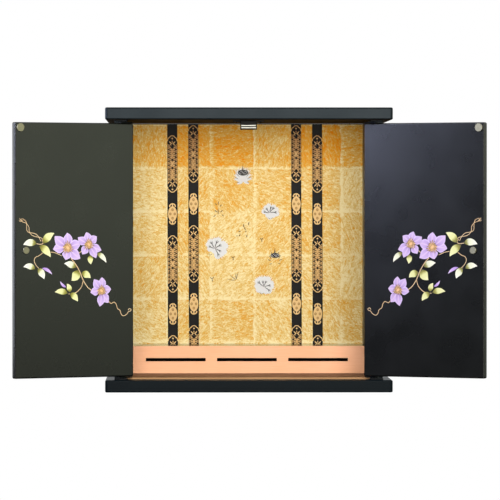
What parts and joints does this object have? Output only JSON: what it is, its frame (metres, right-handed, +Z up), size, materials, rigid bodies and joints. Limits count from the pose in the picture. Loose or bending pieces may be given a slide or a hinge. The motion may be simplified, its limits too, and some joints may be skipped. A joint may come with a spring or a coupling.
{
  "type": "household altar cabinet",
  "caption": "Tabletop household altar cabinet: black lacquered case with hinged doors, gold-leafed back panel, slotted step and magnetic catch.",
  "frame": {"origin": "centre of the base board's underside, where the cabinet stands", "axes": "+X to the right along the open doors, +Y to the back, +Z up; the front faces -Y"},
  "size_m": [0.7046, 0.4105, 0.428],
  "materials": {
    "lacquer": "black satin lacquer",
    "gold_leaf": "gold leaf with painted black and gold strips",
    "copper_paint": "copper-coloured satin finish",
    "black_plastic": "moulded black",
    "bright_steel": "bright",
    "dull_steel": "dull warm grey",
    "black_steel": "black"
  },
  "bodies": {
    "cabinet": {"base_board": "lacquer", "top_board": "lacquer", "side_wall_left": "lacquer", "side_wall_right": "lacquer", "back_board": "lacquer", "step_top": "lacquer", "gold_panel": "gold_leaf", "floor_sheet": "copper_paint", "step_front": "copper_paint", "catch_body": "black_plastic", "catch_pole_upper": "bright_steel", "catch_pole_lower": "bright_steel", "hinge_board_plate_upper_left": "black_steel", "hinge_board_plate_upper_right": "black_steel", "hinge_board_plate_lower_left": "black_steel", "hinge_board_plate_lower_right": "black_steel"},
    "left_door": {"door_left": "lacquer", "strike_disc_left": "dull_steel", "knob_cap_left": "dull_steel", "knob_left": "black_steel", "hinge_door_plate_upper_left": "black_steel", "hinge_door_plate_lower_left": "black_steel"},
    "right_door": {"door_right": "lacquer", "strike_disc_right": "dull_steel", "knob_cap_right": "dull_steel", "knob_right": "black_steel", "hinge_door_plate_upper_right": "black_steel", "hinge_door_plate_lower_right": "black_steel"}
  },
  "joints": [
    {"name": "left_door_hinge", "type": "hinge", "parent": "cabinet", "child": "left_door", "pos_m": [-0.1885, -0.14373, 0.214], "axis": [0, 0, 1], "range_deg": [-30, 150]},
    {"name": "right_door_hinge", "type": "hinge", "parent": "cabinet", "child": "right_door", "pos_m": [0.1885, -0.14373, 0.214], "axis": [0, 0, 1], "range_deg": [-150, 30]}
  ]
}
